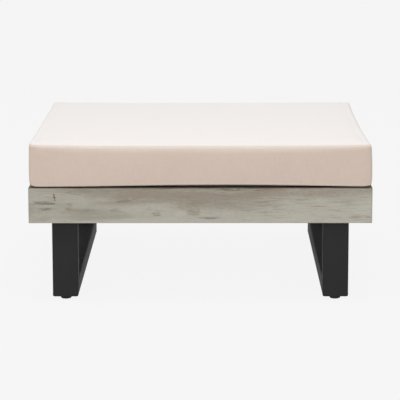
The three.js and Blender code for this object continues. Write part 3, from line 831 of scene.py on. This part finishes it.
reach_x, reach_y = np.abs(box_points[:, :2]).T
inset = HALF_COVER - np.maximum(reach_x, reach_y)
at_side = np.abs(inset) < 1e-9
at_top, at_bottom = on_level(COVER_TOP), on_level(cover_low.z)
at_upright = np.abs(reach_x - reach_y) < 1e-9
on_seam = at_side & (at_top | at_bottom | at_upright)
print("seam points:", int(on_seam.sum()))


# %% Blow the cover up against its seams
CLOTH = {
    "quality": 6, "mass": 0.3, "bending_stiffness": 1.5,
    "tension_stiffness": 12, "compression_stiffness": 12,
    "vertex_group_mass": "held", "use_pressure": True, "uniform_pressure_force": 4.0,
}


def swell(points, faces, pinned, frames=20):
    body = make_object("swelling", bare_mesh("swelling", points, faces=faces))
    held = body.vertex_groups.new(name="held")
    held.add([int(i) for i in np.flatnonzero(pinned)], 1.0, "REPLACE")
    cloth = body.modifiers.new("Cloth", "CLOTH")
    for key, value in CLOTH.items():
        setattr(cloth.settings, key, value)
    cloth.settings.effector_weights.gravity = 0
    cloth.point_cache.frame_start, cloth.point_cache.frame_end = 1, frames
    scene = bpy.context.scene
    for step in range(1, frames + 1):
        scene.frame_set(step)
    result = body.evaluated_get(bpy.context.evaluated_depsgraph_get()).to_mesh()
    moved = np.empty(len(result.vertices) * 3)
    result.vertices.foreach_get("co", moved)
    bpy.data.objects.remove(body)
    scene.frame_set(1)
    return moved.reshape(-1, 3)


def soft_cap(moves, cap):
    length = np.linalg.norm(moves, axis=1, keepdims=True)
    return moves * (cap * np.tanh(length / cap) / np.maximum(length, 1e-12))


swelling = swell(foam_shape, box_faces, on_seam) - foam_shape
print("largest swelling", round(float(np.linalg.norm(swelling, axis=1).max()), 4))
swelling = soft_cap(swelling, CROWN * 1.15)
from_roll = np.where(at_top, inset, COVER_TOP - box_points[:, 2]) / (30 * MM)
left = smooth_step(from_roll) * np.where(at_top | at_bottom, 1, 0.45)
swelling *= left[:, None]
cover_shape = foam_shape + swelling

# %% [markdown]
# ### Seams, puckers and the slot of the zip
# The thread of a seam pulls the cloth in, the cloth on both sides of it stands up as a soft lip,
# and the uneven pull leaves small puckers beside it. The seams along the upright corners are
# drawn deepest, and the one over the rounded top edge least. Round the zip the cloth is flat.


# %% Draw the seams in
def normals_of(points, faces):
    normals = np.zeros_like(points)
    quads = np.array(faces)
    a, b, c, d = (points[quads[:, i]] for i in range(4))
    face_normals = np.cross(c - a, d - b)
    for i in range(4):
        np.add.at(normals, quads[:, i], face_normals)
    return normals / np.maximum(np.linalg.norm(normals, axis=1, keepdims=True), 1e-12)


def pucker(points, scale):
    return np.array([noise.noise(Vector(point) * scale) for point in points])


normals = normals_of(cover_shape, box_faces)
to_level = np.minimum(COVER_TOP - box_points[:, 2], box_points[:, 2] - cover_low.z)
to_upright = HALF_COVER - np.minimum(reach_x, reach_y)
away = np.where(at_top | at_bottom, inset, np.minimum(to_level, to_upright))  # from a seam
beside = np.exp(-((away - 7 * MM) / (5 * MM)) ** 2)
uneven = pucker(cover_shape, 62.0) * 0.55 * MM * beside
uneven += pucker(cover_shape + 3.0, 9.0) * 0.9 * MM * np.clip(away / (40 * MM), 0, 1)
groove = np.select([~on_seam, at_top, at_bottom], [0, -0.45 * MM, -1.25 * MM], -2.0 * MM)
lip = np.where((away > 1e-6) & (away < 3 * MM), 0.35 * MM, 0)
flatness = near_zip(box_points)
cover_shape = cover_shape + normals * ((groove + lip + uneven) * (1 - flatness))[:, None]

# Nothing sinks into the boards, and the zip's surroundings go back to their place.
cover_shape[:, 2] = np.maximum(cover_shape[:, 2], cover_low.z)
flat_place = np.column_stack([box_points[:, 0], np.full(len(box_points), ZIP_FACE),
                              box_points[:, 2]])
cover_shape += (flat_place - cover_shape) * flatness[:, None]
print("cover spans", cover_shape.min(0).round(4), cover_shape.max(0).round(4))

# Beside a seam the cloth is paler, partly from strain and partly a painted highlight on the seam's
# lip; not on the ends and not near the top.
faces_sideways = np.clip(np.abs(normals[:, 0]) * 1.4, 0, 1) ** 2
by_seam = np.exp(-((away / (4 * MM)) ** 2)) * (1 - 0.9 * faces_sideways)
by_seam *= np.clip((COVER_TOP - box_points[:, 2]) / (16 * MM), 0, 1)
HEM_FOLD = 3 * MM


# %% Cut the slot, fold its hem in and finish the cover
def in_slot(face):
    x, _, z = box_points[face].mean(0)
    return abs(x) < SLOT_HALF and SLOT_Z[0] < z < SLOT_Z[1]


def in_slot_corner(vert):
    to_level = min(abs(vert.co.z - level) for level in SLOT_Z)
    return to_level + abs(abs(vert.co.x) - SLOT_HALF) < 0.1 * MM


def cover_mesh(name):
    work = bmesh.new()
    layer = work.loops.layers.uv.new("panel")
    strain_and_highlight = work.verts.layers.float.new("by_seam")
    pinned = work.verts.layers.float.new("crease_vert")
    creased = work.edges.layers.float.new("crease_edge")
    verts = [work.verts.new(tuple(point)) for point in cover_shape]
    for vert, share in zip(verts, by_seam):
        vert[strain_and_highlight] = share
    inside = []
    for face, uv, back in zip(box_faces, box_uvs, on_back):
        made = work.faces.new([verts[i] for i in face])
        for loop, place in zip(made.loops, uv):
            loop[layer].uv = place
        if back and in_slot(face):
            inside.append(made)
    bmesh.ops.recalc_face_normals(work, faces=work.faces)
    bmesh.ops.delete(work, geom=inside, context="FACES")
    border = [edge for edge in work.edges if edge.is_boundary]
    for edge in border:
        edge[creased] = 1
        for vert in edge.verts:
            vert[pinned] = in_slot_corner(vert)
    for made in bmesh.ops.extrude_edge_only(work, edges=border)["geom"]:
        if isinstance(made, bmesh.types.BMVert):
            made.co.y -= HEM_FOLD
            made[pinned] = 1
    loose = [vert for vert in work.verts if not vert.link_faces]
    bmesh.ops.delete(work, geom=loose, context="VERTS")
    bmesh.ops.recalc_face_normals(work, faces=work.faces)
    mesh = bpy.data.meshes.new(name)
    work.to_mesh(mesh)
    work.free()
    # The painted top light: a share that grows as a face looks up, read by the cloth's colour.
    up = np.array([vertex.normal.z for vertex in mesh.vertices])
    sunny = mesh.attributes.new("sunny", "FLOAT", "POINT")
    sunny.data.foreach_set("value", (np.clip(up, 0, 1) ** 2.3).astype(np.float32))
    return mesh


sewn_cover = finish_piece("sewn_cover", cover_mesh("sewn_cover"), finishes["cover"])
subdivide = sewn_cover.modifiers.new("Fine cloth", "SUBSURF")
subdivide.levels = subdivide.render_levels = 1
place_piece(sewn_cover, "cushion", "cushion_fabric", "cushion_cover")

# %% The foam inside
FOAM_GAP = 3.6 * MM
core = foam_shape - normals_of(foam_shape, box_faces) * FOAM_GAP
core[:, 1] = np.minimum(core[:, 1], ZIP_FACE - FOAM_GAP)
core[:, 2] = np.clip(core[:, 2], cover_low.z + FOAM_GAP, None)
foam_block = make_piece("foam_block", core, box_faces, finishes["foam"])
place_piece(foam_block, "cushion", "cushion_foam", "foam_core")

# %% [markdown]
# ### Thread and teeth
# A real seam shows a row of short stitches, a few millimetres long, that lie in its groove. One
# recipe sets a flattened bead at each step of a path, turned along it. The zip's teeth are a
# row of beads too, half a step apart on the two tapes, so the rows mesh.

# %% Stitches along a path
def ring_edges(count, closed=True):
    return [(i, (i + 1) % count) for i in range(count if closed else count - 1)]


STITCH = {"length": 3 * MM, "pitch": 4 * MM, "thickness": 0.6 * MM}
stitches = Recipe("Stitches along a path", **STITCH)
length, thick = stitches.inputs["length"], stitches.inputs["thickness"]
curve = stitches.node("GeometryNodeMeshToCurve", inputs={0: stitches.inputs["geometry"]})
spots = stitches.node(
    "GeometryNodeCurveToPoints", {"mode": "LENGTH"}, {0: curve, 2: stitches.inputs["pitch"]})
turn = Value(stitches, spots.socket.node.outputs[3])
bead = stitches.node("GeometryNodeMeshUVSphere", inputs={0: 6, 1: 5, 2: 0.5})
stitches.end_in_copies(spots, bead, turn, stitches.whole(thick, thick, length))


def sew(name, points, edges):
    thread = stitches.run(name, points, edges, finish=finishes["thread"], **STITCH)
    place_piece(thread, "cushion", "cushion_fabric")


# %% Sew the seams
def seam_paths():
    """The seam of the top, of the bottom, and the four upright ones, as lists of point numbers."""
    x, y, z = box_points.T
    for level in (at_top, at_bottom):
        ring = np.flatnonzero(level & on_seam)
        yield ring[np.argsort(np.arctan2(y[ring], x[ring]))], True
    for sign_x in (-1, 1):
        for sign_y in (-1, 1):
            post = np.flatnonzero(at_upright & at_side & (x * sign_x > 0) & (y * sign_y > 0))
            yield post[np.argsort(z[post])], False


seam_points, seam_edges = [], []
for path, closed in seam_paths():
    start = len(seam_points)
    seam_edges += [(a + start, b + start) for a, b in ring_edges(len(path), closed)]
    seam_points += [cover_shape[i] + normals[i] * 0.15 * MM for i in path]
sew("seam_stitches", seam_points, seam_edges)

# Two rows of stitches hold the zip: a box round its slot.
HEM = 3.5 * MM
hem_x, hem_low, hem_high = SLOT_HALF + HEM, SLOT_Z[0] - HEM, SLOT_Z[1] + HEM
corners = [(-hem_x, hem_low), (hem_x, hem_low), (hem_x, hem_high), (-hem_x, hem_high)]
box = []
for (x1, z1), (x2, z2) in zip(corners, corners[1:] + corners[:1]):
    steps = max(2, round(math.hypot(x2 - x1, z2 - z1) / (2 * MM)))
    for share in np.linspace(0, 1, steps, endpoint=False):
        box.append((x1 + (x2 - x1) * share, ZIP_FACE + 0.15 * MM, z1 + (z2 - z1) * share))
sew("zip_stitches", box, ring_edges(len(box)))

# %% Teeth of the zip
TOOTH = (1.0 * MM, 1.6 * MM, 2.4 * MM)
bead_row = Recipe("Row of beads", size=TOOTH)
bead = bead_row.node("GeometryNodeMeshUVSphere", inputs={0: 8, 1: 5, 2: 0.5})
bead_row.end_in_copies(bead_row.inputs["geometry"], bead, scale=bead_row.inputs["size"])

TOOTH_PITCH = 1.5 * MM
zip_middle = (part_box("lower_zip_tape")[1].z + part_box("upper_zip_tape")[0].z) / 2
tooth_count = int((2 * slot_high.x - 2 * TOOTH_PITCH) / TOOTH_PITCH)
for row, side, shift in (("lower", -1, 0.0), ("upper", 1, 0.5)):
    level = zip_middle + side * 0.75 * MM
    places = [((i + 1 + shift) * TOOTH_PITCH - slot_high.x, ZIP_FACE - 0.15 * MM, level)
              for i in range(tooth_count)]
    teeth = bead_row.run(f"{row}_teeth", places, size=TOOTH, finish=finishes["teeth"])
    place_piece(teeth, "cushion", "zip_tape")

# %% [markdown]
# ## Fasteners
# A button-headed bolt with a hexagon socket holds each leg, and countersunk screws hold the
# slats. Both are turned shapes with a broached recess, so one lathe makes them: the ripple of a
# circle into a hexagon or into six lobes is a rule of the angle.


# %% Turned fasteners
def hexagon(across_flats):
    def ripple(radius, height, angle):
        wedge = (angle + math.pi / 6) % (math.pi / 3) - math.pi / 6
        inside = 0 < radius < across_flats / 2 + 1e-9
        return across_flats / 2 / math.cos(wedge) - radius if inside else 0
    return ripple


def six_lobes(reach, depth):
    def ripple(radius, height, angle):
        return depth * math.cos(6 * angle) if abs(radius - reach) < 1e-9 else 0
    return ripple


def in_mm(*profile):
    return [(radius * MM, height * MM) for radius, height in profile]


bolt_low, bolt_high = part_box("left_leg_bolt_1")
plate_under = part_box("left_top_plate")[0].z
head, shank, socket = (bolt_high.x - bolt_low.x) / 2, 3 * MM, 2 * MM
drop, up = plate_under - bolt_low.z, bolt_high.z - plate_under
bolt_profile = [
    (0, 2.0 * MM - drop), (socket, 2.0 * MM - drop), (socket, 0.15 * MM - drop),
    (socket + 0.2 * MM, -drop), (head * 0.62, 0.1 * MM - drop), (head * 0.8, -drop * 0.84),
    (head * 0.92, -drop * 0.6), (head * 0.985, -drop * 0.33), (head, -0.2 * MM),
    (head - 0.1 * MM, 0), (shank, 0), (shank, up - 1.2 * MM), (shank * 0.6, up), (0, up),
]
bolt = lathe("bolt_pattern", bolt_profile, 36, (0, 0), finishes["zinc"], hexagon(2 * socket))
screw_profile = in_mm((0, -1.5), (1.55, -1.5), (1.6, 0.05), (3.2, 0.22), (4, 0.12), (4, -0.2),
                      (1.7, -2.4), (1.7, -8), (0, -8))
lobes = six_lobes(1.6 * MM, 0.28 * MM)
screw = lathe("screw_pattern", screw_profile, 24, (0, 0), finishes["screw"], lobes)

# %% Set fasteners on points
fasteners = Recipe("Set on points", pattern=None, seed=7)
pattern = fasteners.node(
    "GeometryNodeObjectInfo", inputs={0: fasteners.inputs["pattern"]}, output=4)
angle = fasteners.node("FunctionNodeRandomValue", {"data_type": "FLOAT"},
                       {2: 0.0, 3: math.tau, 8: fasteners.inputs["seed"]}, output=1)
turn = fasteners.node("ShaderNodeCombineXYZ", inputs={2: angle})
fasteners.end_in_copies(fasteners.inputs["geometry"], pattern, turn)

for side in ("left", "right"):
    bolts = [f"{side}_leg_bolt_{i}" for i in range(1, 5)]
    places = [(*middle(name), plate_under) for name in bolts]
    piece = fasteners.run(f"{side}_bolts", places, pattern=bolt, seed=3, finish=finishes["zinc"])
    place_piece(piece, "frame", "zinc_steel", *bolts)

places = []
for bearer in KEPT["bearers"]:
    for low, high in map(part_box, KEPT["slats"]):
        for share in (0.26, 0.74):
            y = low.y + (high.y - low.y) * share
            places.append((middle(bearer)[0], y, high.z - 0.25 * MM))
screws = fasteners.run("slat_screws", places, pattern=screw, seed=11, finish=finishes["screw"])
place_piece(screws, "frame", "zinc_steel")
for turned_pattern in (bolt, screw):
    bpy.data.objects.remove(turned_pattern)

# %% [markdown]
# ## Levelling feet
# Each foot is a moulded pad on a threaded stem. The pad is a lathe shape with a fluted rim for
# the fingers. The thread is a spiral swept with a small square on its corner, round a plain core.

# %% Fluted pads
FEET = [f"{end}_{side}" for end in ("front", "back") for side in ("left", "right")]
ROUND, FLUTE, LIP, SEAT = 3.5 * MM, 0.25 * MM, 4.1 * MM, 6.3 * MM
for foot in FEET:
    low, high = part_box(f"{foot}_foot_pad")
    radius, top = (high.x - low.x) / 2 - FLUTE, high.z
    flat = radius - ROUND
    profile = [(0, 0.25 * MM), (flat - 1.6 * MM, 0.25 * MM), (flat - 1.0 * MM, 0)]
    profile += [(flat + ROUND * math.sin(a), ROUND * (1 - math.cos(a)))
                for a in np.linspace(0, math.pi / 2, 7)]
    profile += [(radius, top - 0.8 * MM), (radius - 0.25 * MM, top - 0.2 * MM),
                (radius - 0.9 * MM, top), (LIP, top), (LIP, top - 1.4 * MM),
                (SEAT, top - 1.4 * MM), (SEAT, top - 4.2 * MM), (0, top - 4.2 * MM)]

    def flutes(ring, height, angle, radius=radius):
        on_rim = ring > radius - 0.3 * MM and height > 2.5 * MM
        return FLUTE * math.cos(20 * angle) if on_rim else 0

    pad = lathe(f"{foot}_pad", profile, 120, middle(f"{foot}_foot_pad"), finishes["foot"], flutes)
    place_piece(pad, f"{foot}_pad", "foot_plastic", f"{foot}_foot_pad")

# %% Threaded stems
SCREW_PITCH = 1.25 * MM
CORE, CREST, HEAD = 3.3 * MM, 3.35 * MM, 6 * MM
thread = Recipe("Threaded stem", radius=CREST, turns=10.0, length=12.5 * MM)
radius = thread.inputs["radius"]
spiral = thread.node("GeometryNodeCurveSpiral", inputs={
    0: 18, 1: thread.inputs["turns"], 2: radius, 3: radius, 4: thread.inputs["length"]})
ridge = thread.node("GeometryNodeCurvePrimitiveCircle", inputs={0: 4, 4: 0.42 * MM})
helix = thread.node("GeometryNodeCurveToMesh", inputs={0: spiral, 1: ridge, 3: True})
thread.end_in_copies(thread.inputs["geometry"], helix)

for foot in FEET:
    low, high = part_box(f"{foot}_foot_stem")
    centre, under, over = middle(f"{foot}_foot_stem"), low.z, low.z + 2.2 * MM
    profile = [(0, under), (HEAD - 0.2 * MM, under), (HEAD, under + 0.2 * MM),
               (HEAD, over - 0.2 * MM), (HEAD - 0.2 * MM, over), (CORE, over),
               (CORE, high.z - 0.9 * MM), (CORE - 0.8 * MM, high.z), (0, high.z)]
    stem = lathe(f"{foot}_stem", profile, 32, centre, finishes["zinc"])
    place_piece(stem, f"{foot}_stem", "zinc_steel", f"{foot}_foot_stem")
    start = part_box(f"{foot}_foot_pad")[1].z - 0.6 * MM
    turns = (high.z - 1.4 * MM - start) / SCREW_PITCH
    piece = thread.run(f"{foot}_thread", [(*centre, start)], radius=CREST, turns=turns,
                       length=turns * SCREW_PITCH, finish=finishes["zinc"])
    place_piece(piece, f"{foot}_stem", "zinc_steel")

# %% [markdown]
# ## Welds
# The posts meet the bottom tube in a mitre, which is welded all round, ground down and coated
# over. What is left is a faint band along the joint. Where grinding can't reach, in the inner
# corners, the weld keeps its ripples, like a row of tilted coins.

# %% A ground band round each mitre
TUBE_CORNER = 4 * MM


def tube_section(half_width, depth):
    """Points round a tube's section as (across, depth)."""
    inner, low, high = half_width - TUBE_CORNER, TUBE_CORNER, depth - TUBE_CORNER
    centres = [(inner, low), (inner, high), (-inner, high), (-inner, low)]
    return [point for quarter, centre in enumerate(centres)
            for point in arc(centre, TUBE_CORNER, 90 * quarter - 90, 90)]


BAND = {"width": 0.5 * MM, "proud": 0.5 * MM}
band = Recipe("Band along a path", **BAND)
path = band.node("GeometryNodeMeshToCurve", inputs={0: band.inputs["geometry"]})
section = band.node("GeometryNodeCurvePrimitiveCircle", inputs={0: 8, 4: 0.5})
flat = band.whole(band.inputs["width"], band.inputs["proud"], 1.0)
section = band.node("GeometryNodeTransform", inputs={0: section, 3: flat})
band.end(band.node("GeometryNodeCurveToMesh", inputs={0: path, 1: section, 3: False}))

TUBES = {side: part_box(f"{side}_bottom_tube") for side in ("left", "right")}
for side, (low, high) in TUBES.items():
    for end, face, inwards in (("front", low.y, 1), ("back", high.y, -1)):
        points = [(middle(f"{side}_bottom_tube")[0] + across, face + inwards * deep, low.z + deep)
                  for across, deep in tube_section((high.x - low.x) / 2, high.z - low.z)]
        weld = band.run(f"{side}_{end}_mitre_weld", points, ring_edges(len(points)),
                        finish=finishes["steel"], **BAND)
        place_piece(weld, "frame", "black_steel")

# %% Rippled beads in the inner corners
places = []
for side, (low, high) in TUBES.items():
    under_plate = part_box(f"{side}_top_plate")[0].z
    thick = high.z - low.z
    for inner, away in ((low.y + thick, 1), (high.y - thick, -1)):
        for level, up in ((high.z, 1), (under_plate, -1)):
            places += [(x, inner + away * 0.7 * MM, level + up * 0.7 * MM)
                       for x in np.arange(low.x + 2.5 * MM, high.x - 2.4 * MM, 1.5 * MM)]
beads = bead_row.run("weld_beads", places,
                     size=(2.6 * MM, 4.0 * MM, 4.0 * MM), finish=finishes["steel"])
place_piece(beads, "frame", "black_steel")

# %% [markdown]
# ## Studio
# The photograph was taken in flat, soft light on white paper. The floor and the world are the
# same near-white for the camera and in reflections, and the floor keeps a trace of the object's
# shadow. A broad lamp overhead lights the top a little more than the front.

# %% Paper floor and world
PAPER = rgb(246, 246, 246)


def paper_floor():
    finish = Finish("paper_floor")
    lit = finish.node("ShaderNodeBsdfDiffuse", inputs={0: (0.8, 0.8, 0.8, 1.0)})
    glow = finish.node("ShaderNodeEmission", inputs={0: PAPER, 1: 1.004})
    share = finish.seen_directly() * 0.965
    mixed = finish.node("ShaderNodeMixShader", inputs={0: share, 1: lit, 2: glow})
    finish.node("ShaderNodeOutputMaterial", inputs={0: mixed})
    return finish.material


FLOOR = [(-40, -40, 0), (40, -40, 0), (40, 40, 0), (-40, 40, 0)]
make_piece("paper_floor", FLOOR, [(0, 1, 2, 3)], paper_floor(), smooth=False)

world = bpy.data.worlds.new("studio")
bpy.context.scene.world = world
world.use_nodes = True
sky = Tree(world.node_tree)
sky.tree.nodes.clear()
fill = sky.node("ShaderNodeBackground", inputs={0: (1.0, 1.0, 1.0, 1.0), 1: 0.62})
paper = sky.node("ShaderNodeBackground", inputs={0: PAPER, 1: 1.0})
mixed = sky.node("ShaderNodeMixShader", inputs={0: sky.seen_directly(), 1: fill, 2: paper})
sky.node("ShaderNodeOutputWorld", inputs={0: mixed})


# %% Lamps
def soft_lamp(name, place, aim, size, power):
    lamp = bpy.data.lights.new(name, "AREA")
    lamp.shape, lamp.size, lamp.energy = "DISK", size, power
    holder = make_object(name, lamp)
    holder.location = place
    holder.rotation_euler = (Vector(aim) - Vector(place)).to_track_quat("-Z", "Y").to_euler()


soft_lamp("overhead_softbox", (0.0, -0.5, 3.2), (0, 0, 0.3), 3.0, 46)
soft_lamp("front_softbox", (-0.8, -4.2, 1.9), (0, 0, 0.25), 2.6, 30)

# %% [markdown]
# ## Camera
# A long lens from five metres, slightly above the seat, as in the photograph.

# %% Camera
lens = bpy.data.cameras.new("camera")
lens.sensor_width, lens.lens, lens.clip_end = 36.0, 182.64, 200
camera = make_object("camera", lens)
camera.location = (0.0296, -5.0352, 1.0938)
yaw, pitch, roll = (math.radians(angle) for angle in (-0.373, 10.425, -0.095))
turned = Matrix.Rotation(-yaw, 3, "Z") @ Matrix.Rotation(math.pi / 2 - pitch, 3, "X")
camera.rotation_euler = (turned @ Matrix.Rotation(roll, 3, "Z")).to_euler()
bpy.context.scene.camera = camera
bpy.context.scene.view_settings.view_transform = "Standard"
